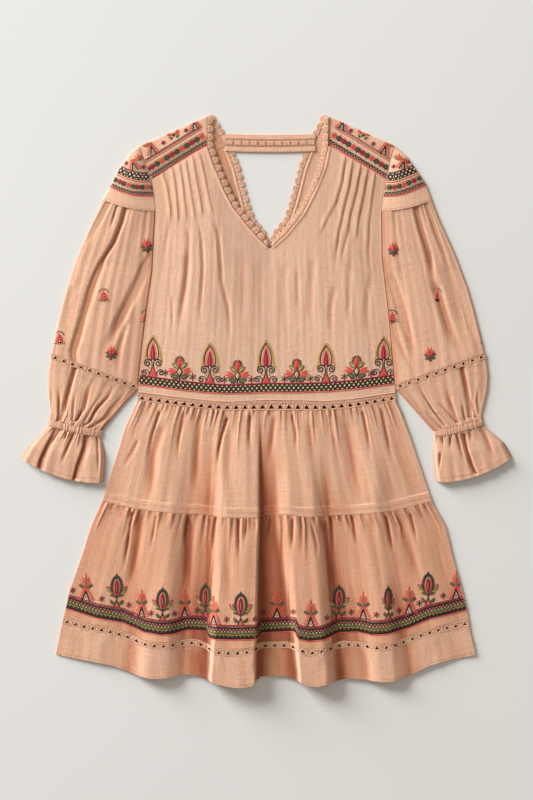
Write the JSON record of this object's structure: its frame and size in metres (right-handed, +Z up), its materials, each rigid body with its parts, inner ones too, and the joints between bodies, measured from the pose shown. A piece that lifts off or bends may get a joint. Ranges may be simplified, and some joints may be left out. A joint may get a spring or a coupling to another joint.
{
  "type": "mini dress",
  "caption": "Mini dress laid flat, with a V neck, bishop sleeves with ruffled cuffs, embroidered shoulders and border, lace insertions and a gathered tiered skirt.",
  "frame": {"origin": "centre of the footprint, on the surface that the dress lies on", "axes": "+X across the dress to the picture's right, +Y up the dress to the shoulders, +Z up through the layers"},
  "size_m": [0.784, 0.9145, 0.0214],
  "materials": {
    "cloth": "soft slubbed cotton voile, apricot",
    "lace": "matte cotton crochet lace, apricot",
    "embroidery": "raised cotton embroidery in coral, crimson, black, cream and olive"
  },
  "bodies": {
    "root": {"bodice_front": "cloth", "bodice_back": "cloth", "upper_tier_front": "cloth", "upper_tier_back": "cloth", "lower_tier_front": "cloth", "lower_tier_back": "cloth", "hem_panel_front": "cloth", "hem_panel_back": "cloth", "upper_sleeve_left": "cloth", "upper_sleeve_right": "cloth", "lower_sleeve_left": "cloth", "lower_sleeve_right": "cloth", "wrist_band_left": "cloth", "wrist_band_right": "cloth", "cuff_ruffle_left": "cloth", "cuff_ruffle_right": "cloth", "strap_upper_band": "cloth", "strap_lower_band": "cloth", "waist_lace_front": "lace", "waist_lace_back": "lace", "hem_lace_front": "lace", "hem_lace_back": "lace", "sleeve_lace_front_left": "lace", "sleeve_lace_back_left": "lace", "sleeve_lace_front_right": "lace", "sleeve_lace_back_right": "lace", "neck_lace_front_left": "lace", "neck_lace_front_right": "lace", "neck_lace_back_left": "lace", "neck_lace_back_right": "lace", "strap_lace": "lace", "yoke_left": "embroidery", "yoke_right": "embroidery", "sleeve_cap_left": "embroidery", "sleeve_cap_right": "embroidery"}
  },
  "joints": []
}
